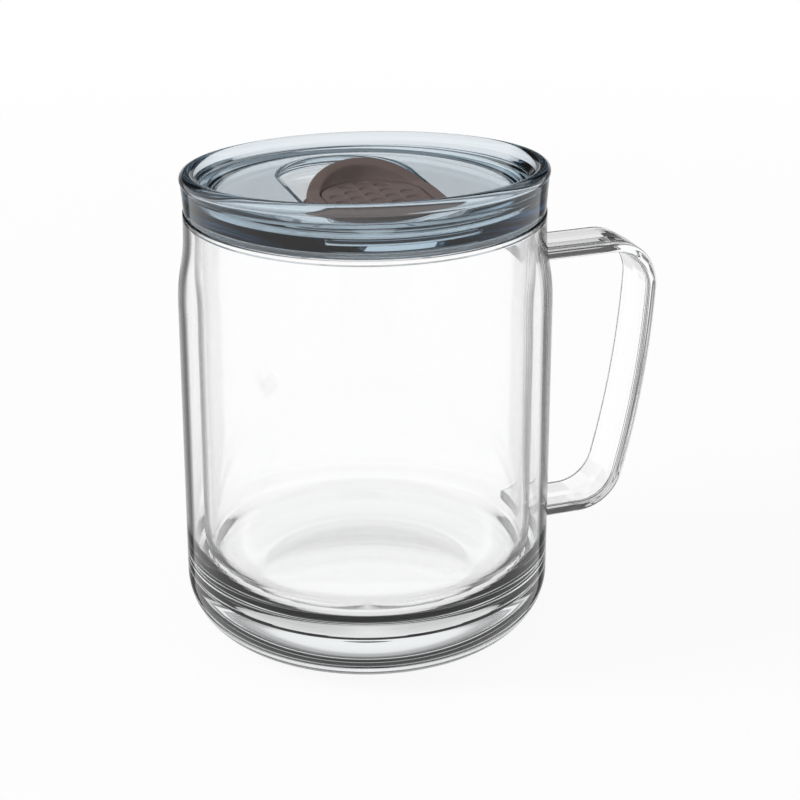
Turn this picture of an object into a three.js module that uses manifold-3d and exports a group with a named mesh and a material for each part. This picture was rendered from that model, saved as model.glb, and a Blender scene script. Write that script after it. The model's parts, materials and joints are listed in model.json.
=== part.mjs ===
// A clear double-wall cup with a strap handle and a tinted press-on lid.
// A thumb slide in the lid opens and closes the sip opening.
// Millimetres, +Z up, origin at the centre of the base, handle towards +X, drinking side towards -Y.

import * as THREE from 'three';
import { mergeVertices } from 'three/addons/utils/BufferGeometryUtils.js';
import Module from 'manifold-3d';

const wasm = await Module();
wasm.setup();

// Clearances
const seatGap = 0.3;
const slideGap = 0.4;

// Outer shell
const cupRadius = 46;
const shellHeight = 109.2;
const shellWall = 2;
const baseThickness = 9.6;
const baseFillet = 14.5;
const cavityFillet = 18;
const neckInset = 1.8;
const neckHeight = 7;
const shoulderHeight = 13;
const mouthLedge = 2;

// Inner liner
const airGap = 2.55;
const linerWall = 2;
const rimEdge = 0.4;

// Strap handle
const handleTop = 95.3;
const handleBottom = 21.7;
const handleReach = 31;
const strapWidth = 15;
const strapThickness = 3.4;
const strapDraft = THREE.MathUtils.degToRad(2);
const partingLand = 0.6;
const handleCorner = 13;
const handleTuck = 7.4;
const gripLeanTop = THREE.MathUtils.degToRad(3);
const gripLeanBottom = THREE.MathUtils.degToRad(15);

// Lid cover
const lidTurn = THREE.MathUtils.degToRad(-3.5);
const skirtInset = 0.24;
const skirtEdge = 0.4;
const lipRadius = 1.8;
const lipFlare = 0.84;
const lipHeight = 8.3;
const lipTilt = THREE.MathUtils.degToRad(4);
const dishInset = 4.35;
const dishHeight = 3.5;
const dishStep = 2;
const gasketThickness = 0.8;

// Slide channel and sip opening
const channelDepth = 2.3;
const channelFloor = 2;
const channelFrontInset = 2.2;
const channelRearInset = 1.3;
const railLip = 1;
const railReach = 1;
const sipInset = 6.5;
const sipLength = 19;
const sipWidth = 7.6;

// Slider, its grip pad and its seal
const sliderWidth = 32;
const sliderTravel = 24;
const flangeThickness = 0.7;
const plateThickness = 3.5;
const thumbHeight = 4.6;
const thumbLean = THREE.MathUtils.degToRad(24);
const thumbRim = 2;
const bowlWall = 3.3;
const bowlDepth = 0.3;
const padThickness = 0.8;
const padInset = 7.5;
const dimpleDiameter = 4.2;
const dimpleDepth = 0.4;
const dimplePitch = 5.1;
const sealThickness = 1.6;
const sealOverlap = 1.5;

// Facets
const roundSides = 60;
const filletSteps = 6;
const outlineSteps = 14;
const dimpleSides = 10;

// Worked out from the sizes above
const neckRadius = cupRadius - neckInset;
const linerOuter = cupRadius - shellWall - airGap;
const linerInner = linerOuter - linerWall;
const linerBottom = baseThickness + airGap;
const rimTop = shellHeight;
const lidBottom = shellHeight + seatGap;
const grooveTop = rimTop + seatGap + gasketThickness + seatGap;
const skirtRadius = neckRadius - skirtInset;
const lipCentre = skirtRadius + lipFlare - lipRadius;
const dishRadius = linerInner - dishInset;
const dishTop = lidBottom + dishHeight;
const channelTop = dishTop - channelDepth;
const lidUnderside = channelTop - channelFloor;
const sliderBottom = channelTop + seatGap;
const plateTop = sliderBottom + plateThickness;
const bowlTop = plateTop - bowlDepth;
const channelFront = dishRadius - channelFrontInset;
const channelRear = dishRadius - channelRearInset;
const sliderHalf = sliderWidth / 2;
const sliderFront = channelFront - slideGap;
const sliderRear = channelRear - 2 * slideGap - sliderTravel;
const channelHalf = sliderHalf + slideGap;
const sipReach = sliderFront - sipInset;
const padFront = sliderFront - padInset;
const padHalf = sliderHalf - bowlWall - seatGap;

// Plain moulded plastics and soft rubber
const clearPlastic = { color: 0xeef3f5, roughness: 0.05, metalness: 0, transparent: true, opacity: 0.35 };
const smokePlastic = { color: 0x7f9db3, roughness: 0.05, metalness: 0, transparent: true, opacity: 0.5 };
const taupePlastic = { color: 0x675a55, roughness: 0.5, metalness: 0 };
const paleRubber = { color: 0xd9dde0, roughness: 0.7, metalness: 0 };

// Joins shared corners and drops faces with no area, so that the mesh is one closed skin.
function closedSkin(geometry) {
  geometry.deleteAttribute('normal');
  geometry.deleteAttribute('uv');
  const merged = mergeVertices(geometry, 1e-4);
  const kept = [];
  for (let i = 0; i < merged.index.count; i += 3) {
    const [a, b, c] = [0, 1, 2].map((k) => merged.index.getX(i + k));
    if (a !== b && b !== c && c !== a) kept.push(a, b, c);
  }
  merged.setIndex(kept);
  return merged;
}

function solidOf(geometry) {
  const skin = closedSkin(geometry);
  const vertProperties = Float32Array.from(skin.attributes.position.array);
  const triVerts = Uint32Array.from(skin.index.array);
  return new wasm.Manifold(new wasm.Mesh({ numProp: 3, vertProperties, triVerts }));
}

function geometryOf(solid) {
  const mesh = solid.getMesh();
  const geometry = new THREE.BufferGeometry();
  geometry.setAttribute('position', new THREE.BufferAttribute(Float32Array.from(mesh.vertProperties), 3));
  geometry.setIndex(Array.from(mesh.triVerts));
  return geometry;
}

function named(name, geometry, finish) {
  geometry.computeVertexNormals();
  const mesh = new THREE.Mesh(geometry, new THREE.MeshStandardMaterial(finish));
  mesh.name = name;
  return mesh;
}

// A quarter-round or other arc of a profile, from one angle to another, as [radius, height] pairs.
function arc(centreR, centreZ, radius, from, to, steps = filletSteps) {
  return Array.from({ length: steps + 1 }, (_, i) => {
    const angle = from + (to - from) * i / steps;
    return [centreR + radius * Math.cos(angle), centreZ + radius * Math.sin(angle)];
  });
}

// Turns a profile of [radius, height] pairs about Z, going up the outside.
function revolve(profile) {
  const points = profile.map(([r, z]) => new THREE.Vector2(Math.max(r, 0), z));
  return new THREE.LatheGeometry(points, roundSides).rotateX(Math.PI / 2);
}

// Gives a flat outline its height, from one level up to another.
function raise(outline, bottom, top) {
  const settings = { depth: top - bottom, bevelEnabled: false, curveSegments: outlineSteps };
  return new THREE.ExtrudeGeometry(outline, settings).translate(0, 0, bottom);
}

// The outline of the slide channel: straight sides, a round rear and a front that follows the lid's wall.
function slotOutline(halfWidth, rear, front) {
  const spread = Math.asin(halfWidth / front);
  const outline = new THREE.Shape();
  outline.absarc(0, 0, front, -Math.PI / 2 - spread, -Math.PI / 2 + spread, false);
  outline.absarc(0, rear - halfWidth, halfWidth, 0, Math.PI, false);
  outline.closePath();
  return outline;
}

function ovalOutline(length, width, centreY) {
  const outline = new THREE.Shape();
  outline.absellipse(0, centreY, length / 2, width / 2, 0, 2 * Math.PI, false, 0);
  return outline;
}

// The shoulder eases from one radius in to another without a crease.
function shoulder(lowRadius, highRadius) {
  const low = shellHeight - neckHeight - shoulderHeight;
  const high = shellHeight - neckHeight;
  const middle = (low + high) / 2;
  const curve = new THREE.CubicBezierCurve(
    new THREE.Vector2(lowRadius, low),
    new THREE.Vector2(lowRadius, middle),
    new THREE.Vector2(highRadius, middle),
    new THREE.Vector2(highRadius, high),
  );
  return curve.getPoints(filletSteps).map((p) => [p.x, p.y]);
}

function shellOutside(grow) {
  const radius = cupRadius + grow;
  return [
    [0, -grow],
    ...arc(cupRadius - baseFillet, baseFillet, baseFillet + grow, -Math.PI / 2, 0),
    ...shoulder(radius, neckRadius + grow),
    [neckRadius + grow, shellHeight + grow],
  ];
}

function makeOuterShell() {
  const mouth = linerOuter + seatGap;
  const cavityRadius = cupRadius - shellWall;
  const neckInside = neckRadius - shellWall;
  const ledge = shellHeight - mouthLedge;
  return closedSkin(revolve([
    ...shellOutside(0),
    [mouth, shellHeight],
    [mouth, ledge],
    [neckInside, ledge - Math.abs(neckInside - mouth)],
    ...shoulder(cavityRadius, neckInside).reverse(),
    ...arc(cavityRadius - cavityFillet, baseThickness + cavityFillet, cavityFillet, 0, -Math.PI / 2),
    [0, baseThickness],
  ]));
}

function makeInnerLiner() {
  const outerFillet = cavityFillet - airGap;
  const innerFillet = outerFillet - linerWall;
  const filletCentre = linerOuter - outerFillet;
  const filletLevel = linerBottom + outerFillet;
  return closedSkin(revolve([
    [0, linerBottom],
    ...arc(filletCentre, filletLevel, outerFillet, -Math.PI / 2, 0),
    [linerOuter, rimTop - rimEdge],
    [linerOuter - rimEdge, rimTop],
    [linerInner + rimEdge, rimTop],
    [linerInner, rimTop - rimEdge],
    ...arc(filletCentre, filletLevel, innerFillet, 0, -Math.PI / 2),
    [0, linerBottom + linerWall],
  ]));
}

// The middle line of the strap, from its upper root round to its lower root, in the X-Z plane.
function strapLine() {
  const half = strapThickness / 2;
  const bend = handleCorner - half;
  const root = cupRadius - neckInset - shellWall;
  const upper = new THREE.Vector2(cupRadius + handleReach - handleCorner, handleTop - handleCorner);
  const lower = new THREE.Vector2(upper.x - handleTuck, handleBottom + handleCorner);
  const pointOn = (centre, lean) => new THREE.Vector2(
    centre.x + bend * Math.cos(lean),
    centre.y - bend * Math.sin(lean),
  );
  const gripTop = pointOn(upper, gripLeanTop);
  const gripBottom = pointOn(lower, gripLeanBottom);
  const slopeTop = Math.tan(gripLeanTop);
  const slopeBottom = Math.tan(gripLeanBottom);
  const rise = gripTop.x - slopeTop * gripTop.y - gripBottom.x + slopeBottom * gripBottom.y;
  const bulgeZ = rise / (slopeBottom - slopeTop);
  const bulgeX = gripBottom.x + slopeBottom * (bulgeZ - gripBottom.y);
  const line = new THREE.Path();
  line.moveTo(root, handleTop - half);
  line.lineTo(upper.x, handleTop - half);
  line.absarc(upper.x, upper.y, bend, Math.PI / 2, -gripLeanTop, true);
  line.quadraticCurveTo(bulgeX, bulgeZ, gripBottom.x, gripBottom.y);
  line.absarc(lower.x, lower.y, bend, -gripLeanBottom, -Math.PI / 2, true);
  line.lineTo(root, handleBottom + half);
  return line;
}

// The mould parts along the middle of the strap, and both halves taper from there to the sides.
function makeHandle() {
  const line = strapLine();
  const steps = 3 * outlineSteps;
  const stations = Array.from({ length: steps + 1 }, (_, i) => i / steps);
  const side = (offset) => stations.map((t) => {
    const tangent = line.getTangentAt(t);
    const point = line.getPointAt(t);
    return new THREE.Vector2(point.x - offset * tangent.y, point.y + offset * tangent.x);
  });
  const flank = (strapWidth - partingLand) / 2;
  const taper = flank * Math.tan(strapDraft);
  const half = strapThickness / 2 - taper;
  const outline = new THREE.Shape([...side(half), ...side(-half).reverse()]);
  const strap = new THREE.ExtrudeGeometry(outline, {
    depth: partingLand,
    bevelSize: taper,
    bevelThickness: flank,
    bevelSegments: 1,
  });
  strap.translate(0, 0, -partingLand / 2).rotateX(Math.PI / 2);
  const wall = [...shellOutside(seatGap), [0, shellHeight + seatGap]];
  return geometryOf(solidOf(strap).subtract(solidOf(revolve(wall))));
}

// The lid turned about Z. Each point also has a share of the lip's tilt, which lifts the drinking side.
function lidProfile() {
  const lip = arc(lipCentre, lidBottom + lipHeight, lipRadius, -Math.PI / 4, Math.PI, 2 * filletSteps);
  const lipInner = lipCentre - lipRadius;
  const stepOuter = lipInner - dishStep / 2;
  const stepInner = stepOuter - dishStep;
  const stepLevel = dishTop + dishStep;
  const skirtWaist = lidBottom + lipHeight / 2;
  return [
    [0, lidUnderside, 0],
    [linerInner - seatGap, lidUnderside, 0],
    [linerInner - seatGap, grooveTop, 0],
    [linerOuter + seatGap, grooveTop, 0],
    [linerOuter + seatGap, lidBottom, 0],
    [skirtRadius - skirtEdge, lidBottom, 0],
    [skirtRadius, lidBottom + skirtEdge, 0],
    [skirtRadius + lipFlare / 3, skirtWaist, 0.4],
    ...lip.map(([r, z]) => [r, z, 1]),
    [stepOuter, stepLevel + dishStep / 2, 0.8],
    [stepInner, stepLevel, 0.4],
    [dishRadius + dishStep / 2, dishTop + dishStep / 4, 0.1],
    [dishRadius, dishTop, 0],
    [0, dishTop, 0],
  ];
}

function makeLidCover() {
  const profile = lidProfile();
  const body = revolve(profile);
  const place = body.attributes.position;
  for (let i = 0; i < place.count; i += 1) {
    const share = profile[i % profile.length][2];
    place.setZ(i, place.getZ(i) - share * Math.tan(lipTilt) * place.getY(i));
  }
  const railHalf = channelHalf + railReach;
  const railRear = channelRear + railReach;
  const aboveLip = lidBottom + 2 * lipHeight;
  const channel = raise(slotOutline(channelHalf, channelRear, channelFront), channelTop, aboveLip);
  const rails = raise(slotOutline(railHalf, railRear, channelFront), channelTop, dishTop - railLip);
  const sip = raise(ovalOutline(sipLength, sipWidth, -sipReach), lidUnderside - channelFloor, aboveLip);
  return geometryOf(solidOf(body).subtract(solidOf(channel)).subtract(solidOf(rails)).subtract(solidOf(sip)));
}

function makeLidGasket() {
  const bottom = rimTop + seatGap;
  const top = bottom + gasketThickness;
  const ring = [[linerInner, bottom], [linerOuter, bottom], [linerOuter, top], [linerInner, top]];
  return closedSkin(revolve([...ring, ring[0]]));
}

// The space below the slider's top: level in front, and rising over the thumb wall at the rear.
function thumbWedge() {
  const riseFrom = sliderRear - thumbHeight / Math.tan(thumbLean);
  const side = new THREE.Shape([
    new THREE.Vector2(-2 * sliderFront, sliderBottom - plateThickness),
    new THREE.Vector2(2 * sliderRear, sliderBottom - plateThickness),
    new THREE.Vector2(2 * sliderRear, plateTop + (2 * sliderRear - riseFrom) * Math.tan(thumbLean)),
    new THREE.Vector2(riseFrom, plateTop),
    new THREE.Vector2(-2 * sliderFront, plateTop),
  ]);
  const settings = { depth: 2 * sliderWidth, bevelEnabled: false };
  const wedge = new THREE.ExtrudeGeometry(side, settings).translate(0, 0, -sliderWidth);
  return wedge.rotateX(Math.PI / 2).rotateZ(Math.PI / 2);
}

function sealOutline(grow) {
  return ovalOutline(sipLength + 2 * (sealOverlap + grow), sipWidth + 2 * (sealOverlap + grow), -sipReach);
}

function padOutline(grow) {
  const rear = sliderRear - sliderHalf + padHalf;
  return slotOutline(padHalf + grow, rear + grow, padFront + grow);
}

function makeSlider() {
  const thumbTop = plateTop + 2 * thumbHeight;
  const body = raise(slotOutline(sliderHalf, sliderRear, sliderFront), sliderBottom, thumbTop);
  const flangeOutline = slotOutline(sliderHalf + railReach, sliderRear + railReach, sliderFront);
  const flange = raise(flangeOutline, sliderBottom, sliderBottom + flangeThickness);
  const bowlRadius = sliderHalf - bowlWall;
  const rimRadius = sliderHalf - thumbRim;
  const rimLevel = plateTop + thumbHeight;
  const slope = (rimRadius - bowlRadius) / (rimLevel - bowlTop);
  const topRadius = bowlRadius + slope * (thumbTop + thumbHeight - bowlTop);
  const bowl = revolve([
    [0, bowlTop],
    [bowlRadius, bowlTop],
    [topRadius, thumbTop + thumbHeight],
    [0, thumbTop + thumbHeight],
  ]).translate(0, sliderRear - sliderHalf, 0);
  const tray = raise(padOutline(seatGap), bowlTop - padThickness - seatGap, thumbTop);
  const pocketTop = sliderBottom + sealThickness + seatGap;
  const pocket = raise(sealOutline(seatGap), sliderBottom - sealThickness, pocketTop);
  const shaped = solidOf(body).intersect(solidOf(thumbWedge())).subtract(solidOf(bowl));
  return geometryOf(shaped.add(solidOf(flange)).subtract(solidOf(tray)).subtract(solidOf(pocket)));
}

// Shallow round dimples in staggered columns, wherever a whole one fits on the pad.
function dimplePlaces() {
  const columnStep = dimplePitch * Math.sqrt(3) / 2;
  const edge = dimpleDiameter / 2 + seatGap;
  const rearCentre = sliderRear - sliderHalf;
  const rows = Math.ceil((rearCentre + padHalf + padFront) / dimplePitch);
  const columns = Math.ceil(padHalf / columnStep);
  const places = [];
  for (let column = -columns; column <= columns; column += 1) {
    const x = column * columnStep;
    for (let row = 0; row <= rows; row += 1) {
      const y = rearCentre + padHalf - edge - (row + Math.abs(column % 2) / 2) * dimplePitch;
      const inRear = y > rearCentre
        ? Math.hypot(x, y - rearCentre) + edge <= padHalf
        : Math.abs(x) + edge <= padHalf;
      const inFront = Math.hypot(x, y) + edge <= padFront || y > 0;
      if (inRear && inFront) places.push([x, y]);
    }
  }
  return places;
}

function makeGripPad() {
  const cutDepth = 2 * dimpleDepth;
  const radius = dimpleDiameter / 2;
  let pad = solidOf(raise(padOutline(0), bowlTop - padThickness, bowlTop));
  for (const [x, y] of dimplePlaces()) {
    const cutter = new THREE.CylinderGeometry(radius, radius - cutDepth, cutDepth, dimpleSides);
    cutter.rotateX(Math.PI / 2).translate(x, y, bowlTop);
    pad = pad.subtract(solidOf(cutter));
  }
  return geometryOf(pad);
}

function makeSliderSeal() {
  return closedSkin(raise(sealOutline(0), sliderBottom, sliderBottom + sealThickness));
}

const cup = new THREE.Group();
cup.add(named('outer_shell', makeOuterShell(), clearPlastic));
cup.add(named('inner_liner', makeInnerLiner(), clearPlastic));
cup.add(named('handle', makeHandle(), clearPlastic));

const lid = new THREE.Group();
lid.rotation.z = lidTurn;
lid.add(named('lid_cover', makeLidCover(), smokePlastic));
lid.add(named('lid_gasket', makeLidGasket(), paleRubber));
lid.add(named('slider', makeSlider(), taupePlastic));
lid.add(named('slider_grip_pad', makeGripPad(), taupePlastic));
lid.add(named('slider_seal', makeSliderSeal(), paleRubber));
cup.add(lid);

export default cup;
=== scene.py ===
# %% [markdown]
# # A clear double-wall cup with a slide-top lid
#
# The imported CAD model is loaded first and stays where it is. Every piece below is a smooth skin over one of
# its solids, so the sizes come from the boxes of those solids. A clear cup is mostly edges: what the eye sees
# is how each rounded wall bends the light, so the skins are much finer than the solids.

# %% Load the frame
import json
from math import atan2, cos, radians, sin, tan

import bpy
import numpy as np
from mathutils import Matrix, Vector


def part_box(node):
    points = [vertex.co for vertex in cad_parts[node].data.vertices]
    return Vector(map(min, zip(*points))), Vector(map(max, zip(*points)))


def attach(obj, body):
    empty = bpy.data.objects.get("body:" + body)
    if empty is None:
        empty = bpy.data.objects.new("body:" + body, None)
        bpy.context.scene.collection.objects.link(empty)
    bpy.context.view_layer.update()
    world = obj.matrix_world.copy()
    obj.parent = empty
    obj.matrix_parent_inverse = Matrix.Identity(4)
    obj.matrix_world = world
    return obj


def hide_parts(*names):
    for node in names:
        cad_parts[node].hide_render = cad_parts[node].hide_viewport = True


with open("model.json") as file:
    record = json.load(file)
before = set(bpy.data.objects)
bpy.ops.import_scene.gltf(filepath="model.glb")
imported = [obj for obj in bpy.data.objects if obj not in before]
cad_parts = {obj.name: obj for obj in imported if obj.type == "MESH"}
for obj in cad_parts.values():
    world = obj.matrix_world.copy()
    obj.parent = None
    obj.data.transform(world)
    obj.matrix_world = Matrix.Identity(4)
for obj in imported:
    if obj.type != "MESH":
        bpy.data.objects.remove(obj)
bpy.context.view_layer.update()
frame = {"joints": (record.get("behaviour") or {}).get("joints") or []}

MM = 0.001


# %% [markdown]
# ## Helpers for skins
#
# Every skin is a stack of rings with the same number of points in each ring. Neighbouring rings are joined by
# four-sided faces. A stack can close on itself, as a ring of dough does, or end in a point at each side.
# Working with whole arrays keeps this quick, and one sign test at the end turns all faces outwards.

# %% Skin helpers
HOLD = 0.25
SHARP_ANGLE = radians(50)


def span(node):
    """The lowest and highest corner of a CAD node, in millimetres."""
    low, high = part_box(node)
    return np.array(low) / MM, np.array(high) / MM


def arc(centre, radius, start, end, steps):
    """Points on a circle: the centre plus the radius times the cosine and sine of each angle, in degrees."""
    angle = np.radians(np.linspace(start, end, steps + 1))
    return np.stack([centre[0] + radius * np.cos(angle), centre[1] + radius * np.sin(angle)], axis=-1)


def hold_ends(path):
    """Adds a point just inside both ends of each long stretch, so that flat stretches are shaded flat."""
    step = np.diff(path, axis=0)
    length = np.linalg.norm(step, axis=1, keepdims=True)
    inward = HOLD * step / np.maximum(length, 1e-9)
    points = np.stack([path[:-1], path[:-1] + inward, path[1:] - inward], axis=1)
    is_long = length[:, 0] > 4 * HOLD
    kept = np.stack([np.ones_like(is_long), is_long, is_long], axis=1)
    return np.vstack([points[kept], path[-1:]])


def rounded(corners, radii, steps=8):
    """A path of straight stretches with each inner corner turned into an arc that touches both stretches."""
    corners = np.array(corners, float)
    pieces = [corners[:1]]
    for before, corner, after, radius in zip(corners, corners[1:], corners[2:], radii):
        back = (before - corner) / np.linalg.norm(before - corner)
        ahead = (after - corner) / np.linalg.norm(after - corner)
        half = np.arccos(np.clip(back @ ahead, -1, 1)) / 2
        centre = corner + (back + ahead) / np.linalg.norm(back + ahead) * radius / sin(half)
        first = corner + back * radius / tan(half) - centre
        last = corner + ahead * radius / tan(half) - centre
        turn = np.pi - 2 * half
        share = np.linspace(0, 1, steps + 1)[:, None]
        pieces.append(centre + (np.sin((1 - share) * turn) * first + np.sin(share * turn) * last) / sin(turn))
    return np.vstack([*pieces, corners[-1:]])


def skin(name, rings, first=None, last=None, closed=False):
    """A mesh object from rings of points in millimetres, joined ring to ring and closed by end points."""
    count, around = rings.shape[:2]
    points = rings.reshape(-1, 3)
    row = np.arange(count if closed else count - 1)[:, None]
    column = np.arange(around)[None, :]
    beside = (column + 1) % around
    above = (row + 1) % count
    quads = np.stack([row * around + column, row * around + beside, above * around + beside,
                      above * around + column], axis=-1).reshape(-1, 4)
    faces = quads.tolist()
    triangles = np.vstack([quads[:, [0, 1, 2]], quads[:, [0, 2, 3]]])
    for tip, ring, order in ((first, 0, [1, 0, 2]), (last, count - 1, [0, 1, 2])):
        if tip is not None:
            fan = np.stack([ring * around + column[0], ring * around + beside[0],
                            np.full(around, len(points))], axis=-1)[:, order]
            points = np.vstack([points, np.asarray(tip, float)])
            triangles = np.vstack([triangles, fan])
            faces += fan.tolist()
    a, b, c = (points[triangles[:, k]] for k in range(3))
    if np.einsum("ij,ij->i", a, np.cross(b, c)).sum() < 0:
        faces = [face[::-1] for face in faces]
    return put(name, points, faces)


def put(name, points, faces):
    """Puts points in millimetres and faces into a new smooth mesh object at the origin."""
    mesh = bpy.data.meshes.new(name)
    mesh.from_pydata((points * MM).tolist(), [], faces)
    mesh.shade_smooth()
    mesh.set_sharp_from_angle(angle=SHARP_ANGLE)
    made = bpy.data.objects.new(name, mesh)
    bpy.context.scene.collection.objects.link(made)
    print(f"{name}: {len(points)} points, {len(faces)} faces")
    return made


def turned(profile, stations=256):
    """Rings of a profile of radius and height turned about Z: radius times cosine, radius times sine, and
    height."""
    angle = np.linspace(0, 2 * np.pi, stations, endpoint=False)
    radius, height = profile[:, :1], profile[:, 1:]
    return np.stack(np.broadcast_arrays(radius * np.cos(angle), radius * np.sin(angle), height), axis=-1)


def dress(piece, material, body, slot, *nodes):
    """Gives a piece its material and its body, and hides the CAD nodes that it stands for. The slot is not
    used.
    """
    piece.data.materials.append(material)
    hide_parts(*nodes)
    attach(piece, body)
    return piece


# %% [markdown]
# ## Helpers for materials
#
# A colour is written as the sRGB hex value that the eye would pick, and one function turns it to the linear
# numbers that the renderer works with. One more adds a node, sets it and links it.

# %% Material helpers
def linear(hex_colour):
    """sRGB hex to linear RGBA: each channel is divided by 12.92 when dark, else raised to the power 2.4."""
    channel = np.array([int(hex_colour[i:i + 2], 16) for i in (1, 3, 5)]) / 255
    straight = np.where(channel <= 0.04045, channel / 12.92, ((channel + 0.055) / 1.055) ** 2.4)
    return (*straight.tolist(), 1.0)


def add(tree, kind, inputs=None, **settings):
    """Adds a node, gives it its settings, and fills its inputs with values or links."""
    made = tree.nodes.new(kind)
    for key, value in settings.items():
        setattr(made, key, value)
    for socket, value in (inputs or {}).items():
        if isinstance(value, bpy.types.NodeSocket):
            tree.links.new(value, made.inputs[socket])
        else:
            made.inputs[socket].default_value = value
    return made


def new_material(name):
    """An empty node material and its tree."""
    material = bpy.data.materials.new(name)
    material.use_nodes = True
    material.node_tree.nodes.clear()
    return material, material.node_tree


# %% [markdown]
# ## Clear copolyester
#
# The cup, its liner and its handle are injection moulded from clear copolyester, a tough plastic that looks
# like glass. Its polished mould leaves a mirror surface with a faint waviness about 14 mm across, and long
# paths through the thick base take away a little light. It is a transmitting Principled shader with an index
# of 1.5, a very low roughness that drifts with the waviness, and a weak absorption in its volume. One
# function makes it, because the lid is the same plastic with more dye.

# %% Clear copolyester material
def moulded_copolyester(name, swell_size, dye, density):
    """Polished plastic: a mirror surface with a faint swell of a size in mm, and a dye in the volume."""
    material, tree = new_material(name)
    place = add(tree, "ShaderNodeTexCoord").outputs["Object"]
    wave = add(tree, "ShaderNodeTexNoise", {"Vector": place, "Scale": 1 / (swell_size * MM), "Detail": 1.0})
    haze = add(tree, "ShaderNodeMapRange", {"Value": wave.outputs["Fac"], "To Min": 0.004, "To Max": 0.02})
    swell = add(tree, "ShaderNodeBump", {
        "Height": wave.outputs["Fac"],
        "Strength": 0.02,
        "Distance": 0.02 * MM,
    })
    shader = add(tree, "ShaderNodeBsdfPrincipled", {
        "Base Color": linear("#ffffff"),
        "Roughness": haze.outputs["Result"],
        "IOR": 1.5,
        "Transmission Weight": 1.0,
        "Normal": swell.outputs["Normal"],
    })
    volume = add(tree, "ShaderNodeVolumeAbsorption", {"Color": linear(dye), "Density": density})
    add(tree, "ShaderNodeOutputMaterial", {
        "Surface": shader.outputs["BSDF"],
        "Volume": volume.outputs["Volume"],
    })
    return material


clear_plastic = moulded_copolyester("clear_moulded_copolyester", 14, "#e9eef0", 6.0)
print("made", clear_plastic.name)


# %% [markdown]
# ## Smoke-blue copolyester
#
# The lid is the same plastic with a smoke-blue dye mixed through it. A dye in the bulk makes thick parts
# darker than thin ones, so the tint is an absorption in the volume and not a paint on the surface: the lip
# and the skirt look deep blue along their length, and the thin floor of the channel stays pale.

# %% Smoke-blue copolyester material
smoke_plastic = moulded_copolyester("smoke_blue_moulded_copolyester", 9, "#76aec8", 70.0)
print("made", smoke_plastic.name)


# %% [markdown]
# ## Satin polypropylene and silicone
#
# The thumb slide is moulded in dyed polypropylene against a spark-eroded mould, which leaves a fine even grit
# and a satin sheen. The real grit is about 0.1 mm and would not show at this distance, so it is drawn at
# 0.35 mm. The two seals are silicone with a faint milky haze: light goes through them and comes out soft.

# %% Satin polypropylene and silicone materials
def satin_polypropylene():
    material, tree = new_material("satin_taupe_polypropylene")
    place = add(tree, "ShaderNodeTexCoord").outputs["Object"]
    grit = add(tree, "ShaderNodeTexNoise", {"Vector": place, "Scale": 1 / (0.35 * MM), "Detail": 2.0})
    cloud = add(tree, "ShaderNodeTexNoise", {"Vector": place, "Scale": 1 / (6 * MM), "Detail": 2.0})
    tone = add(tree, "ShaderNodeMix", {
        "Factor": cloud.outputs["Fac"],
        6: linear("#5f524e"),
        7: linear("#6e605b"),
    }, data_type="RGBA")
    satin = add(tree, "ShaderNodeMapRange", {"Value": grit.outputs["Fac"], "To Min": 0.42, "To Max": 0.58})
    bumps = add(tree, "ShaderNodeBump", {
        "Height": grit.outputs["Fac"],
        "Strength": 0.08,
        "Distance": 0.05 * MM,
    })
    shader = add(tree, "ShaderNodeBsdfPrincipled", {
        "Roughness": satin.outputs["Result"],
        "IOR": 1.49,
        "Normal": bumps.outputs["Normal"],
    })
    tree.links.new(tone.outputs[2], shader.inputs["Base Color"])
    add(tree, "ShaderNodeOutputMaterial", {"Surface": shader.outputs["BSDF"]})
    return material


def milky_silicone():
    material, tree = new_material("milky_silicone")
    place = add(tree, "ShaderNodeTexCoord").outputs["Object"]
    cloud = add(tree, "ShaderNodeTexNoise", {"Vector": place, "Scale": 1 / (2 * MM), "Detail": 2.0})
    satin = add(tree, "ShaderNodeMapRange", {"Value": cloud.outputs["Fac"], "To Min": 0.1, "To Max": 0.25})
    shader = add(tree, "ShaderNodeBsdfPrincipled", {
        "Base Color": linear("#f4f7f8"),
        "Roughness": satin.outputs["Result"],
        "IOR": 1.41,
        "Transmission Weight": 0.95,
    })
    add(tree, "ShaderNodeOutputMaterial", {"Surface": shader.outputs["BSDF"]})
    return material


taupe_plastic = satin_polypropylene()
silicone = milky_silicone()
print("made", taupe_plastic.name, "and", silicone.name)


# %% [markdown]
# ## Outer shell
#
# The shell is a turned form: a flat foot, a large round at the base, a straight wall and a soft shoulder that
# draws in to the neck under the lid. Inside, its cavity has a larger round, so the base is a thick clear
# lens. A lathe does this: one closed profile carried round the axis.

# %% Outer shell
shell_low, shell_high = span("outer_shell")
CUP_RADIUS = shell_high[0]
SHELL_TOP = shell_high[2]
SHELL_WALL = 2.0
BASE_THICKNESS = 9.6
BASE_FILLET = 14.5
CAVITY_FILLET = 18.0
NECK_INSET = 1.8
NECK_HEIGHT = 4.0
SHOULDER_HEIGHT = 20.0
MOUTH_LEDGE = 1.2
SEAT_GAP = 0.3
RIM_EDGE = 0.4

liner_low, liner_high = span("inner_liner")
LINER_OUTER = liner_high[0]
LINER_WALL = 2.0
RIM_TOP = liner_high[2]
LINER_BOTTOM = liner_low[2]


def shoulder(low_radius, high_radius, steps=24):
    """An S curve from one radius to another: a cubic Bezier that starts and ends upright."""
    t = np.linspace(0, 1, steps + 1)
    low = SHELL_TOP - NECK_HEIGHT - SHOULDER_HEIGHT
    inward = t * t * (3 - 2 * t)
    climb = 1.5 * t * (1 - t) + t ** 3
    radius = low_radius + (high_radius - low_radius) * inward
    return np.stack([radius, low + SHOULDER_HEIGHT * climb], axis=-1)


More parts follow.
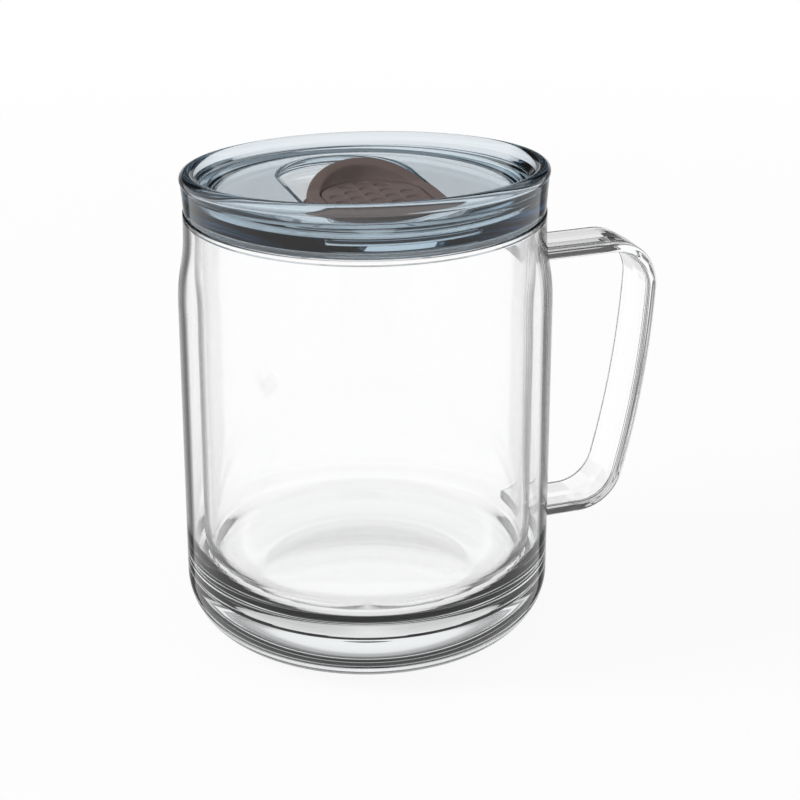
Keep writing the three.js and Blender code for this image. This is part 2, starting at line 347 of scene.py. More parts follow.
shell_outside = np.vstack([
    arc((CUP_RADIUS - BASE_FILLET, BASE_FILLET), BASE_FILLET, -90, 0, 28),
    shoulder(CUP_RADIUS, CUP_RADIUS - NECK_INSET),
])
cavity_radius = CUP_RADIUS - SHELL_WALL
mouth_radius = LINER_OUTER + SEAT_GAP
neck_radius = CUP_RADIUS - NECK_INSET
neck_inside = neck_radius - SHELL_WALL
ledge = SHELL_TOP - MOUTH_LEDGE
neck_rim = rounded([
    shell_outside[-1],
    (neck_radius, SHELL_TOP),
    (mouth_radius, SHELL_TOP),
    (mouth_radius, ledge),
    (neck_inside, ledge - (neck_inside - mouth_radius)),
    (neck_inside, SHELL_TOP - NECK_HEIGHT),
], [RIM_EDGE, RIM_EDGE, RIM_EDGE, RIM_EDGE])
shell_inside = np.vstack([
    shoulder(cavity_radius, neck_inside)[::-1],
    arc((cavity_radius - CAVITY_FILLET, BASE_THICKNESS + CAVITY_FILLET), CAVITY_FILLET, 0, -90, 28),
])
shell_profile = hold_ends(np.vstack([
    [[HOLD, 0.0]],
    shell_outside,
    neck_rim[1:-1],
    shell_inside,
    [[HOLD, BASE_THICKNESS]],
]))
outer_shell = skin("clear_outer_shell", turned(shell_profile), (0, 0, 0), (0, 0, BASE_THICKNESS))
dress(outer_shell, clear_plastic, "cup", "clear_body", "outer_shell")

# %% [markdown]
# ## Inner liner
#
# The liner is a second cup inside the first, with a gap of air between the two walls that keeps the drink
# warm. Its round at the bottom runs parallel to the cavity of the shell, and its rim is fully rounded for the
# gasket.

# %% Inner liner
liner_inner = LINER_OUTER - LINER_WALL
liner_round = CAVITY_FILLET - (cavity_radius - LINER_OUTER)
liner_centre = (LINER_OUTER - liner_round, LINER_BOTTOM + liner_round)
liner_rim = arc((LINER_OUTER - LINER_WALL / 2, RIM_TOP - LINER_WALL / 2), LINER_WALL / 2, 0, 180, 16)
liner_profile = hold_ends(np.vstack([
    [[HOLD, LINER_BOTTOM]],
    arc(liner_centre, liner_round, -90, 0, 28),
    liner_rim,
    arc(liner_centre, liner_round - LINER_WALL, 0, -90, 28),
    [[HOLD, LINER_BOTTOM + LINER_WALL]],
]))
inner_liner = skin("clear_inner_liner", turned(liner_profile), (0, 0, LINER_BOTTOM),
                   (0, 0, LINER_BOTTOM + LINER_WALL))
dress(inner_liner, clear_plastic, "cup", "clear_body", "inner_liner")

# %% [markdown]
# ## Strap handle
#
# The handle is one flat strap: two level arms, two large bends, and a grip that bows in towards the bottom
# for the lower fingers. A profile carried along a path makes it. Its roots follow the round of the shell and
# sink a little into the wall, so that light crosses the joint as it does in one moulding.

# %% Strap handle
handle_low, handle_high = span("handle")
STRAP_WIDTH = handle_high[1] - handle_low[1]
STRAP_THICKNESS = 3.4
STRAP_DRAFT = radians(2)
STRAP_EDGE = 0.9
RIDGE_RADIUS = 6.0
HANDLE_CORNER = 13.0
HANDLE_TUCK = 7.4
GRIP_LEAN_TOP = 3.0
GRIP_LEAN_BOTTOM = 15.0
ROOT_SINK = 0.3


def strap_path():
    """The middle line of the strap: arm, bend, a quadratic curve for the grip, bend and arm."""
    bend = HANDLE_CORNER - STRAP_THICKNESS / 2
    upper = np.array([handle_high[0] - HANDLE_CORNER, handle_high[2] - HANDLE_CORNER])
    lower = np.array([upper[0] - HANDLE_TUCK, handle_low[2] + HANDLE_CORNER])
    first = arc(upper, bend, 90, -GRIP_LEAN_TOP, 40)
    second = arc(lower, bend, -GRIP_LEAN_BOTTOM, -90, 40)
    slope_top, slope_bottom = tan(radians(GRIP_LEAN_TOP)), tan(radians(GRIP_LEAN_BOTTOM))
    start, end = first[-1], second[0]
    height = (start[0] - slope_top * start[1] - end[0] + slope_bottom * end[1]) / (slope_bottom - slope_top)
    pull = np.array([end[0] + slope_bottom * (height - end[1]), height])
    t = np.linspace(0, 1, 41)[1:-1, None]
    grip = (1 - t) ** 2 * start + 2 * t * (1 - t) * pull + t ** 2 * end
    run = np.linspace(0, 1, 9)[:-1, None]
    top_root, low_root = np.array([CUP_RADIUS, first[0][1]]), np.array([CUP_RADIUS, second[-1][1]])
    top_arm = top_root + run * (first[0] - top_root)
    low_arm = low_root + run[::-1] * (second[-1] - low_root)
    return np.vstack([top_arm, first, grip, second, low_arm])


def strap_section():
    """A flat six-sided loop with soft corners: thickest at the middle plane, where the mould parts, and
    tapered to both sides."""
    wide, thick = STRAP_WIDTH / 2, STRAP_THICKNESS / 2
    thin = thick - wide * tan(STRAP_DRAFT)
    corners = [(wide, 0), (wide, -thin), (0, -thick), (-wide, -thin),
               (-wide, thin), (0, thick), (wide, thin), (wide, 0)]
    radii = [STRAP_EDGE, RIDGE_RADIUS, STRAP_EDGE] * 2
    return hold_ends(rounded(corners, radii, 5))[:-1]


def on_shell(points):
    """Moves points along X on to the shell's surface, sunk a little: X is the root of radius squared less Y
    squared."""
    radius = np.interp(points[..., 2], shell_outside[:, 1], shell_outside[:, 0]) - ROOT_SINK
    across = np.sqrt(radius ** 2 - points[..., 1] ** 2)
    return np.stack([across, points[..., 1], points[..., 2]], axis=-1)


def strap_rings():
    """Rings of the section set square to the path, with the two ends fitted to the shell."""
    path, section = strap_path(), strap_section()
    ahead = np.gradient(path, axis=0)
    ahead /= np.linalg.norm(ahead, axis=1, keepdims=True)
    normal = np.stack([-ahead[:, 1], ahead[:, 0]], axis=-1)
    through = section[None, :, 1]
    across = np.broadcast_to(section[None, :, 0], (len(path), len(section)))
    out, up = (path[:, k:k + 1] + normal[:, k:k + 1] * through for k in (0, 1))
    body = np.stack([out, across, up], axis=-1)
    shrink = np.array([0.25, 0.5, 0.75, 1.0])[:, None, None]
    ends = []
    for ring in (body[0], body[-1]):
        middle = ring.mean(axis=0)
        ends.append(on_shell(middle + shrink * (ring - middle)))
    return np.concatenate([ends[0], body[1:-1], ends[1][::-1]])


rings = strap_rings()
tips = [on_shell(rings[k].mean(axis=0)) for k in (0, -1)]
handle = skin("clear_strap_handle", rings, *tips)
dress(handle, clear_plastic, "cup", "clear_body", "handle")

# %% [markdown]
# ## Lid cover
#
# The lid presses on to the rim. Its lip is a round bead that rises towards the drinking side, its dish falls
# in steps to a flat floor, and a channel with a round rear end is sunk into the floor for the slide. One loop
# of rings goes up through the sip opening, out over the floor and the lip, down the skirt and back under the
# floor, so the skin is closed and has no seam. Where a wide flat face meets a round, one more ring close by
# keeps it flat to the light, because smooth shading would bend the whole face.

# %% Lid outlines
lid_low, lid_high = span("lid_cover")
slide_joint = next(joint for joint in frame["joints"] if joint["name"] == "slider_slide")
LID_TURN = atan2(-slide_joint["axis"][0], slide_joint["axis"][1])
LID_STATIONS = 480
CORNER_POWER = 40
station = np.linspace(0, 2 * np.pi, LID_STATIONS, endpoint=False)
RIGHT, REAR = np.cos(station), np.sin(station)


def slot(half_width, rear, front):
    """The channel's outline as a distance from the lid's axis at each angle: straight sides, a round rear
    end, and at the front an arc about the axis that meets the sides in soft corners."""
    centre = rear - half_width
    side = half_width / np.maximum(np.abs(RIGHT), 1e-6)
    round_end = centre * REAR + np.sqrt(np.maximum(half_width ** 2 - (centre * RIGHT) ** 2, 0))
    reach = np.where(half_width * REAR > centre * np.abs(RIGHT), round_end, side)
    soft = (reach ** -CORNER_POWER + float(front) ** -CORNER_POWER) ** (-1 / CORNER_POWER)
    return np.where(REAR < 0, soft, reach)


def ring(reach, level):
    """One ring of the lid: distance from the axis at each angle, and height."""
    return np.stack(np.broadcast_arrays(reach * RIGHT, reach * REAR, level), axis=-1)


def oval(length, width, reach, level):
    """An oval in front of the axis, whose points lie on the lines from its centre to an outline round it."""
    towards = np.arctan2(reach * REAR + SIP_REACH, reach * RIGHT)
    c, s = np.cos(towards), np.sin(towards)
    out = 0.25 * length * width / np.hypot(0.5 * width * c, 0.5 * length * s)
    return np.stack(np.broadcast_arrays(out * c, out * s - SIP_REACH, level), axis=-1)


def turn_lid(points):
    """Turns points about Z by the lid's angle on the cup."""
    c, s = cos(LID_TURN), sin(LID_TURN)
    x, y, z = points[..., 0], points[..., 1], points[..., 2]
    return np.stack([c * x - s * y, s * x + c * y, z], axis=-1)


# %% Lid cover
CHANNEL_FLOOR = 2.0
CHANNEL_DEPTH = 2.3
DISH_HEIGHT = 3.5
UNDERSIDE = lid_low[2]
CHANNEL_TOP = UNDERSIDE + CHANNEL_FLOOR
DISH_TOP = CHANNEL_TOP + CHANNEL_DEPTH
LID_BOTTOM = DISH_TOP - DISH_HEIGHT
SKIRT_INSET = 0.24
SKIRT_RADIUS = neck_radius - SKIRT_INSET
SKIRT_BEND = 4.2
SKIRT_EDGE = 0.4
LIP_RADIUS = 1.8
LIP_FLARE = 0.84
LIP_HEIGHT = 8.3
LIP_LEVEL = LID_BOTTOM + LIP_HEIGHT
LIP_TILT = radians(4)
DISH_INSET = 4.35
DISH_RADIUS = liner_inner - DISH_INSET
DISH_FLAT = 1.2
STEP_INSET = 3.0
STEP_RISE = 2.0
LIP_FOOT_INSET = 1.2
LIP_FOOT_RISE = 2.6
LIP_STRAIGHT = 0.6
PLUG_EDGE = 2.0
GROOVE_TOP = span("lid_gasket")[1][2] + SEAT_GAP
CHANNEL_HALF = 16.4
CHANNEL_REAR_INSET = 1.3
CHANNEL_FRONT_INSET = 2.2
CHANNEL_REAR = DISH_RADIUS - CHANNEL_REAR_INSET
CHANNEL_FRONT = DISH_RADIUS - CHANNEL_FRONT_INSET
CHANNEL_EDGE = 0.7
RAIL_REACH = 1.0
RAIL_LIP = 1.0
RAIL_LEVEL = DISH_TOP - RAIL_LIP
SLIDE_GAP = 0.4
SLIDER_FRONT = CHANNEL_FRONT - SLIDE_GAP
SIP_INSET = 6.5
SIP_REACH = SLIDER_FRONT - SIP_INSET
SIP_LENGTH = 19.0
SIP_WIDTH = 7.6
SIP_EDGE = 0.4


def lid_outside():
    """The turned part of the lid: radius, height and share of the lip's tilt, from the floor of the dish
    over the lip and down to the underside. The share grows evenly with height on the way up to the lip."""
    lip_centre = SKIRT_RADIUS + LIP_FLARE - LIP_RADIUS
    lip_inner = lip_centre - LIP_RADIUS
    dish = rounded([
        (DISH_RADIUS, DISH_TOP),
        (DISH_RADIUS + DISH_FLAT, DISH_TOP),
        (lip_inner - STEP_INSET, DISH_TOP + STEP_RISE),
        (lip_inner - LIP_FOOT_INSET, DISH_TOP + LIP_FOOT_RISE),
        (lip_inner, LIP_LEVEL - LIP_STRAIGHT),
        (lip_inner, LIP_LEVEL),
    ], [1.0, 0.8, 0.8, 0.6], 6)
    lip = arc((lip_centre, LIP_LEVEL), LIP_RADIUS, 180, -30, 32)
    plug = liner_inner - SEAT_GAP
    skirt = rounded([
        lip[-1],
        (SKIRT_RADIUS + LIP_FLARE / 3, LID_BOTTOM + SKIRT_BEND),
        (SKIRT_RADIUS, LID_BOTTOM),
        (LINER_OUTER + SEAT_GAP, LID_BOTTOM),
        (LINER_OUTER + SEAT_GAP, GROOVE_TOP),
        (plug, GROOVE_TOP),
        (plug, UNDERSIDE),
        (plug - PLUG_EDGE, UNDERSIDE),
    ], [6.0, SKIRT_EDGE, 0.3, 0.3, 0.3, 0.6], 6)
    dish, skirt = hold_ends(dish[:-1]), hold_ends(skirt)
    up_inside = np.clip((dish[:, 1] - DISH_TOP) / (LIP_LEVEL - DISH_TOP), 0, 1)
    start = LID_BOTTOM + SKIRT_EDGE
    up_outside = np.clip((skirt[:, 1] - start) / (lip[-1, 1] - start), 0, 1)
    up_outside *= skirt[:, 0] > LINER_OUTER + 2 * SEAT_GAP
    share = np.concatenate([up_inside, np.ones(len(lip)), up_outside[1:]])
    return np.column_stack([np.vstack([dish, lip, skirt[1:]]), share])


def lid_rings():
    """All rings of the lid in order, from the upper edge of the sip opening round to its lower edge."""
    rail = slot(CHANNEL_HALF + RAIL_REACH, CHANNEL_REAR + RAIL_REACH, CHANNEL_FRONT)
    wall = slot(CHANNEL_HALF, CHANNEL_REAR, CHANNEL_FRONT)
    quarter = np.radians(np.linspace(0, 90, 7))
    stack = [oval(SIP_LENGTH, SIP_WIDTH, rail, CHANNEL_TOP - SIP_EDGE)]
    for angle in quarter[1:]:
        grow = 2 * SIP_EDGE * (1 - cos(angle))
        level = CHANNEL_TOP - SIP_EDGE + SIP_EDGE * sin(angle)
        stack.append(oval(SIP_LENGTH + grow, SIP_WIDTH + grow, rail, level))
    mouth = 2 * (SIP_EDGE + HOLD)
    stack.append(oval(SIP_LENGTH + mouth, SIP_WIDTH + mouth, rail, CHANNEL_TOP))
    stack += [ring(rail - 2 * HOLD, CHANNEL_TOP), ring(rail - HOLD, CHANNEL_TOP)]
    stack += [ring(rail, CHANNEL_TOP + HOLD), ring(rail, RAIL_LEVEL - HOLD), ring(rail - HOLD, RAIL_LEVEL)]
    stack += [ring(wall + HOLD, RAIL_LEVEL), ring(wall, RAIL_LEVEL + HOLD / 2)]
    for angle in quarter:
        out = CHANNEL_EDGE * (1 - cos(angle))
        stack.append(ring(wall + out, DISH_TOP - CHANNEL_EDGE + CHANNEL_EDGE * sin(angle)))
    stack.append(ring(wall + CHANNEL_EDGE + HOLD, DISH_TOP))
    for radius, level, share in lid_outside():
        stack.append(ring(radius, level - share * tan(LIP_TILT) * radius * REAR))
    for grow in (4 * HOLD, 2 * HOLD):
        stack.append(oval(SIP_LENGTH + grow, SIP_WIDTH + grow, rail, UNDERSIDE))
    stack.append(oval(SIP_LENGTH, SIP_WIDTH, rail, UNDERSIDE + HOLD))
    return turn_lid(np.stack(stack))


lid_cover = skin("smoke_lid_cover", lid_rings(), closed=True)
dress(lid_cover, smoke_plastic, "lid", "tinted_lid", "lid_cover")

# %% [markdown]
# ## Lid gasket
#
# A soft ring sits in the groove of the lid and is pressed on to the rim. It is a rounded band turned about
# the axis.

# %% Lid gasket
gasket_low, gasket_high = span("lid_gasket")
gasket_half = (gasket_high[2] - gasket_low[2]) / 2
gasket_middle = (gasket_high[2] + gasket_low[2]) / 2
gasket_profile = np.vstack([
    arc((LINER_OUTER - gasket_half, gasket_middle), gasket_half, -90, 90, 12),
    arc((liner_inner + gasket_half, gasket_middle), gasket_half, 90, 270, 12),
])
lid_gasket = skin("silicone_lid_gasket", turned(gasket_profile), closed=True)
dress(lid_gasket, silicone, "lid", "seal", "lid_gasket")

# %% [markdown]
# ## Thumb slide
#
# The slide is a flat plate with a round rear end, where a crescent wall rises for the thumb. The top of the
# wall is a slanting plane, and its inner face is scooped down to a tray for the grip pad. The same polar
# rings as for the channel make it, each with its own outline and height.

# %% Thumb slide
slider_low, slider_high = span("slider")
pad_low, pad_high = span("slider_grip_pad")
seal_low, seal_high = span("slider_seal")
SLIDER_HALF = CHANNEL_HALF - SLIDE_GAP
SLIDE_TRAVEL = slide_joint["range_m"][1] / MM
SLIDER_REAR = CHANNEL_REAR - 2 * SLIDE_GAP - SLIDE_TRAVEL
PLATE_THICKNESS = 3.5
PLATE_TOP = slider_low[2] + PLATE_THICKNESS
THUMB_LEAN = radians(24)
THUMB_BEND = 0.3
RISE_FROM = SLIDER_REAR - (slider_high[2] - PLATE_TOP) / tan(THUMB_LEAN)
FLANGE = 0.7
SLIDER_EDGE = 0.7
BOWL_WALL = 3.3
SCOOP_SLOPE = 0.27
SCOOP_POWER = 1.6
CREST_FLAT = 0.45
CREST_EDGE = 0.12
CREST_DROP = 0.2
PAD_INSET = 7.5
PAD_FRONT = SLIDER_FRONT - PAD_INSET
TRAY_FLOOR = pad_low[2] - SEAT_GAP
SEAL_GROW = 3.0


def thumb_level(along):
    """The height of the slide's top: level in front, then a slanting plane, with a soft bend between them."""
    climb = (along - RISE_FROM) * tan(THUMB_LEAN)
    return PLATE_TOP + (climb + np.sqrt(climb ** 2 + THUMB_BEND ** 2)) / 2


def slider_rings():
    """Rings of the slide from the roof of its seal pocket, round the plate, over the wall and into the
    tray."""
    flange = slot(SLIDER_HALF + RAIL_REACH, SLIDER_REAR + RAIL_REACH, SLIDER_FRONT)
    plate = slot(SLIDER_HALF, SLIDER_REAR, SLIDER_FRONT)
    bowl = slot(SLIDER_HALF - BOWL_WALL, SLIDER_REAR - BOWL_WALL, PAD_FRONT + SEAT_GAP)
    room = SEAL_GROW + 2 * SEAT_GAP
    pocket = (SIP_LENGTH + room, SIP_WIDTH + room)
    bottom = slider_low[2]
    stack = [oval(*pocket, flange, seal_high[2] + SEAT_GAP), oval(*pocket, flange, bottom + HOLD)]
    stack.append(oval(pocket[0] + 2 * HOLD, pocket[1] + 2 * HOLD, flange, bottom))
    stack += [ring(flange - HOLD, bottom), ring(flange, bottom + HOLD)]
    stack += [ring(flange, bottom + FLANGE), ring(plate, bottom + FLANGE)]
    edge = thumb_level(plate * REAR) - SLIDER_EDGE
    stack.append(ring(plate, bottom + FLANGE + HOLD))
    for angle in np.radians(np.linspace(0, 90, 8)):
        inset = plate - SLIDER_EDGE * (1 - cos(angle))
        stack.append(ring(inset, edge + SLIDER_EDGE * sin(angle)))
    scoop = bowl + SCOOP_SLOPE * (thumb_level(bowl * REAR) - pad_high[2])
    lip = scoop + CREST_FLAT
    stack.append(ring(lip, thumb_level(lip * REAR)))
    crest = thumb_level(scoop * REAR)
    stack.append(ring(scoop + CREST_EDGE, crest - CREST_EDGE / 3))
    for share in np.linspace(0, 1, 14):
        reach = scoop + (bowl - scoop) * share
        start = crest - CREST_DROP
        stack.append(ring(reach, start + (pad_high[2] - start) * (1 - (1 - share) ** SCOOP_POWER)))
    stack += [ring(bowl, pad_high[2] - HOLD), ring(bowl, TRAY_FLOOR + HOLD), ring(bowl - HOLD, TRAY_FLOOR)]
    return turn_lid(np.stack(stack))


roof = turn_lid(np.array([0, -SIP_REACH, seal_high[2] + SEAT_GAP]))
tray = turn_lid(np.array([0, -PAD_FRONT / 2, TRAY_FLOOR]))
slider = skin("taupe_thumb_slide", slider_rings(), roof, tray)
dress(slider, taupe_plastic, "slide", "slide", "slider")

# %% [markdown]
# ## Grip pad
#
# The pad lies in the tray of the slide. It has shallow round dimples in staggered columns that keep a wet
# thumb from slipping. The pad is a height over a stretched grid: across it the grid is even in angle, and
# along it the grid runs from the front arc to the round rear end.

# %% Grip pad
PAD_HALF = SLIDER_HALF - BOWL_WALL - SEAT_GAP
PAD_CENTRE = SLIDER_REAR - SLIDER_HALF
PAD_EDGE = 0.25
DIMPLE_RADIUS = 2.1
DIMPLE_DEPTH = 0.4
DIMPLE_WALL = 0.35
DIMPLE_PITCH = 5.1


def pad_margin(x, y):
    """How far inside the pad's outline a point lies: the least distance to its sides, rear end and front
    arc."""
    rear = PAD_HALF - np.hypot(x, np.maximum(y - PAD_CENTRE, 0))
    front = np.where(y < 0, PAD_FRONT - np.hypot(x, y), PAD_FRONT)
    return np.minimum(rear, front)


def dimple_depth(x, y):
    """Depth of the dimples: the nearest centre of a staggered lattice is found by rounding, and the floor of
    a dimple is reached over a short eased wall. Only dimples that lie whole on the pad are kept."""
    column = DIMPLE_PITCH * np.sqrt(3) / 2
    margin = DIMPLE_RADIUS + SEAT_GAP
    first = PAD_CENTRE + PAD_HALF - margin
    depth = np.zeros_like(x)
    for shift_x, shift_y in ((0, 0), (column, -DIMPLE_PITCH / 2)):
        centre_x = shift_x + 2 * column * np.round((x - shift_x) / (2 * column))
        centre_y = first + shift_y + DIMPLE_PITCH * np.round((y - first - shift_y) / DIMPLE_PITCH)
        inside = np.clip((DIMPLE_RADIUS - np.hypot(x - centre_x, y - centre_y)) / DIMPLE_WALL, 0, 1)
        whole = pad_margin(centre_x, centre_y) >= margin - 1e-6
        depth = np.maximum(depth, np.where(whole, DIMPLE_DEPTH * inside * inside * (3 - 2 * inside), 0))
    return depth


def make_grip_pad(columns=220, rows=250):
    """The dimpled top as a grid, its side walls, and one flat face below."""
    x = (PAD_HALF * np.sin(np.linspace(-np.pi / 2, np.pi / 2, columns)))[:, None]
    front = -np.sqrt(PAD_FRONT ** 2 - x ** 2)
    rear = PAD_CENTRE + np.sqrt(np.maximum(PAD_HALF ** 2 - x ** 2, 0))
    y = front + (rear - front) * np.linspace(0, 1, rows)[None, :]
    x = np.broadcast_to(x, y.shape)
    drop = np.clip(1 - pad_margin(x, y) / PAD_EDGE, 0, 1)
    top = pad_high[2] - dimple_depth(x, y) - PAD_EDGE * (1 - np.sqrt(1 - drop ** 2))
    surface = np.stack([x, y, top], axis=-1)
    index = np.arange(columns * rows).reshape(columns, rows)
    quads = np.stack([index[:-1, :-1], index[1:, :-1], index[1:, 1:], index[:-1, 1:]], axis=-1)
    rim = np.concatenate([index[:-1, 0], index[-1, :-1], index[:0:-1, -1], index[0, :0:-1]])
    foot = surface.reshape(-1, 3)[rim] * [1, 1, 0] + [0, 0, pad_low[2]]
    below = np.arange(len(rim)) + columns * rows
    walls = np.stack([rim, below, np.roll(below, -1), np.roll(rim, -1)], axis=-1)
    points = np.vstack([surface.reshape(-1, 3), foot])
    faces = quads.reshape(-1, 4).tolist() + walls.tolist() + [below[::-1].tolist()]
    return put("taupe_grip_pad", turn_lid(points), faces)


grip_pad = make_grip_pad()
dress(grip_pad, taupe_plastic, "slide", "slide", "slider_grip_pad")

# %% [markdown]
# ## Slide seal
#
# A soft oval stopper fills the pocket under the slide and closes the sip opening. It is a stack of ovals
# with a rounded edge above and below.

# %% Slide seal
SEAL_ROUND = 0.6


def seal_rings():
    """Ovals from the foot of the stopper to its top, drawn in at both edges by a quarter round."""
    half = (seal_high[2] - seal_low[2]) / 2
    around = slot(SLIDER_HALF, SLIDER_REAR, SLIDER_FRONT)
    stack = []
    for angle in np.radians(np.linspace(-90, 90, 15)):
        grow = SEAL_GROW - SEAL_ROUND * 2 * half * (1 - cos(angle))
        level = seal_low[2] + half * (1 + sin(angle))
        stack.append(oval(SIP_LENGTH + grow, SIP_WIDTH + grow, around, level))
    return turn_lid(np.stack(stack))


seal_tips = [turn_lid(np.array([0, -SIP_REACH, level])) for level in (seal_low[2], seal_high[2])]
slider_seal = skin("silicone_slide_seal", seal_rings(), *seal_tips)
dress(slider_seal, silicone, "slide", "seal", "slider_seal")

# %% [markdown]
# ## Floor
#
# The cup stands on a plain pale floor. What the camera sees of it is nearly white, and the rest is an
# ordinary matt surface, so the shadow of the cup stays in it. Away from the cup it turns fully white, so that
# no edge shows where it ends.

# %% Floor
FLOOR_SIZE = 8.0
FLOOR_DROP = 0.05 * MM
SHADOW_REACH = 0.15
WHITE_FROM = 0.7
NEAR_WHITE = 0.92


def seen_rays(tree):
    """One for rays that the eye follows: from the camera, off a gloss, or through a clear wall."""
    path = add(tree, "ShaderNodeLightPath").outputs
    seen = path["Is Camera Ray"]
    for kind in ("Is Glossy Ray", "Is Transmission Ray"):
        seen = add(tree, "ShaderNodeMath", {0: seen, 1: path[kind]}, operation="MAXIMUM").outputs[0]
    return seen


def pale_floor():
    material, tree = new_material("pale_matt_floor")
    matt = add(tree, "ShaderNodeBsdfDiffuse", {"Color": linear("#f2f2f2")})
    white = add(tree, "ShaderNodeEmission", {"Color": linear("#ffffff"), "Strength": 1.0})
    place = add(tree, "ShaderNodeTexCoord").outputs["Object"]
    away = add(tree, "ShaderNodeVectorMath", {0: place}, operation="LENGTH").outputs["Value"]
    paler = add(tree, "ShaderNodeMapRange", {
        "Value": away,
        "From Min": SHADOW_REACH,
        "From Max": WHITE_FROM,
        "To Min": NEAR_WHITE,
    }).outputs["Result"]
    share = add(tree, "ShaderNodeMath", {0: seen_rays(tree), 1: paler}, operation="MULTIPLY")
    both = add(tree, "ShaderNodeMixShader", {0: share.outputs[0], 1: matt.outputs[0], 2: white.outputs[0]})
    add(tree, "ShaderNodeOutputMaterial", {"Surface": both.outputs[0]})
    return material


floor_corners = np.array([(-1, -1, 0), (1, -1, 0), (1, 1, 0), (-1, 1, 0)]) * FLOOR_SIZE / 2
floor_mesh = bpy.data.meshes.new("floor")
floor_mesh.from_pydata((floor_corners - [0, 0, FLOOR_DROP]).tolist(), [], [(0, 1, 2, 3)])
floor = bpy.data.objects.new("floor", floor_mesh)
floor.data.materials.append(pale_floor())
floor.visible_transmission = False
floor.visible_glossy = False
bpy.context.scene.collection.objects.link(floor)
print("floor", FLOOR_SIZE, "m wide")

# %% [markdown]
# ## Studio light
#
# Clear plastic shows by its dark edges. In a studio the picture is taken against a lit white wall and floor,
# and the rest of the room is dim: dark flags stand at both sides of the white, and one pale panel hangs above
# it. A look straight through the plastic ends on the white. A look that a wall has turned aside, by a mirror
# reflection inside it, ends on the room. So the world is white for rays that were never reflected, and shows
# the room to those that were. Each ramp below goes from straight ahead to straight back, or from below to
# above.

# %% World
VIEW_TURN = radians(20.957)
FLAG_STOPS = ((0.0, 0.8), (0.06, 0.66), (0.11, 0.42), (0.14, 0.22), (0.185, 0.15), (0.215, 1.0))
AHEAD_STOPS = ((0.5, 0.5), (0.53, 0.05), (0.695, 0.05), (0.72, 0.95), (0.75, 0.9), (0.79, 0.5), (0.9, 0.12))
BEHIND_STOPS = ((0.5, 1.0), (0.70, 1.0), (0.80, 0.4))
SIDE_STOPS = ((0.17, 0.0), (0.24, 0.05), (0.40, 1.0))
HORIZON_STOPS = ((0.47, 0.0), (0.53, 1.0))


def ramp(tree, value, stops):
    """A grey ramp with these stops of place and brightness."""
    made = add(tree, "ShaderNodeValToRGB", {"Fac": value})
    made.color_ramp.interpolation = "EASE"
    points = made.color_ramp.elements
    while len(points) < len(stops):
        points.new(0.5)
    for point, (place, grey) in zip(points, stops):
        point.position = place
    for point, (place, grey) in zip(points, stops):
        point.color = (grey, grey, grey, 1)
    return made.outputs["Color"]


def blend(tree, share, first, second):
    """One colour turning into another."""
    return add(tree, "ShaderNodeMix", {"Factor": share, 6: first, 7: second}, data_type="RGBA").outputs[2]


def dim_room(tree):
    """The room by direction: the flags below the horizon, and above it what hangs ahead and what lies
    behind."""
    direction = add(tree, "ShaderNodeTexCoord").outputs["Generated"]
    turn = {"Vector": direction, "Angle": VIEW_TURN}
    facing = add(tree, "ShaderNodeVectorRotate", turn, rotation_type="Z_AXIS")
    part = add(tree, "ShaderNodeSeparateXYZ", {"Vector": facing.outputs[0]}).outputs
    angle = add(tree, "ShaderNodeMath", {0: part["X"], 1: part["Y"]}, operation="ARCTAN2")
    amount = add(tree, "ShaderNodeMath", {0: angle.outputs[0]}, operation="ABSOLUTE")
    aside = add(tree, "ShaderNodeMath", {0: amount.outputs[0], 1: np.pi}, operation="DIVIDE").outputs[0]
    rise = add(tree, "ShaderNodeMapRange", {"Value": part["Z"], "From Min": -1.0, "From Max": 1.0})
    height = rise.outputs["Result"]
    ahead, behind = ramp(tree, height, AHEAD_STOPS), ramp(tree, height, BEHIND_STOPS)
    above = blend(tree, ramp(tree, aside, SIDE_STOPS), ahead, behind)
    return blend(tree, ramp(tree, height, HORIZON_STOPS), ramp(tree, aside, FLAG_STOPS), above)


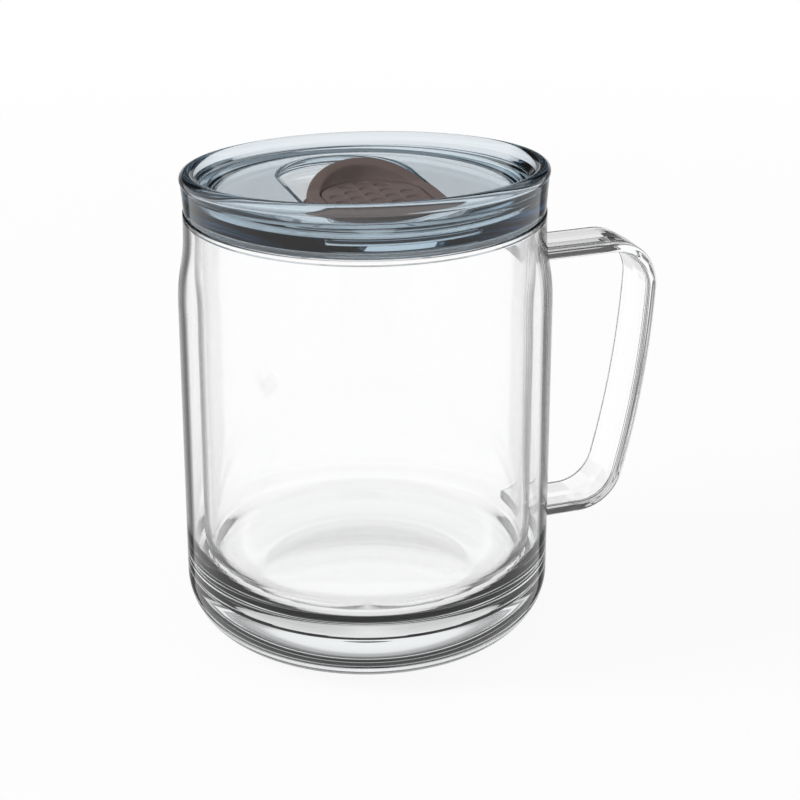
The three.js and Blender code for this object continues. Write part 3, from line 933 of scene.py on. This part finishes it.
def studio_world():
    world = bpy.data.worlds.new("soft_studio")
    world.use_nodes = True
    tree = world.node_tree
    tree.nodes.clear()
    path = add(tree, "ShaderNodeLightPath").outputs
    reflected = add(tree, "ShaderNodeMath", {0: path["Glossy Depth"], 1: 1.0}, operation="MINIMUM")
    shown = blend(tree, reflected.outputs[0], linear("#ffffff"), dim_room(tree))
    seen = add(tree, "ShaderNodeBackground", {"Color": shown, "Strength": 1.0})
    soft = add(tree, "ShaderNodeBackground", {"Color": linear("#ffffff"), "Strength": 0.45})
    both = add(tree, "ShaderNodeMixShader", {0: seen_rays(tree), 1: soft.outputs[0], 2: seen.outputs[0]})
    add(tree, "ShaderNodeOutputWorld", {"Surface": both.outputs[0]})
    return world


bpy.context.scene.world = studio_world()


def softbox(name, place, size, power):
    """A square soft light at a place in metres, turned to the foot of the cup."""
    lamp = bpy.data.lights.new(name, "AREA")
    lamp.shape = "SQUARE"
    lamp.size = size
    lamp.energy = power
    made = bpy.data.objects.new(name, lamp)
    made.location = place
    made.rotation_mode = "QUATERNION"
    made.rotation_quaternion = made.location.to_track_quat("Z", "Y")
    made.visible_camera = False
    made.visible_glossy = False
    made.visible_transmission = False
    bpy.context.scene.collection.objects.link(made)
    return made


softbox("key_softbox", (-0.8, 0.1, 0.7), 0.4, 6.5)
softbox("fill_softbox", (0.6, -0.6, 0.8), 0.5, 1.5)
print("world and two softboxes")

# %% [markdown]
# ## Camera
#
# The camera looks down at the cup from in front, at the height and distance found from the outlines of the
# rim, the base and the handle. It faces the same way as the room above.

# %% Camera
lens = bpy.data.cameras.new("camera")
lens.lens = 97.74
lens.sensor_width = 36.0
lens.clip_start = 0.01
camera = bpy.data.objects.new("camera", lens)
camera.location = (-0.1735, -0.4767, 0.25849)
camera.rotation_euler = (radians(68.50), 0, -VIEW_TURN)
bpy.context.scene.collection.objects.link(camera)
bpy.context.scene.camera = camera
bpy.context.scene.view_settings.view_transform = "Standard"
print("camera", [round(v, 4) for v in camera.location])

# %% [markdown]
# ## Light paths
#
# A look through the lid and four clear walls crosses more than twenty surfaces, so more bounces are allowed.

# %% Light paths
paths = bpy.context.scene.cycles
paths.max_bounces = 40
paths.transmission_bounces = 40
paths.glossy_bounces = 4
paths.diffuse_bounces = 4
paths.caustics_reflective = False
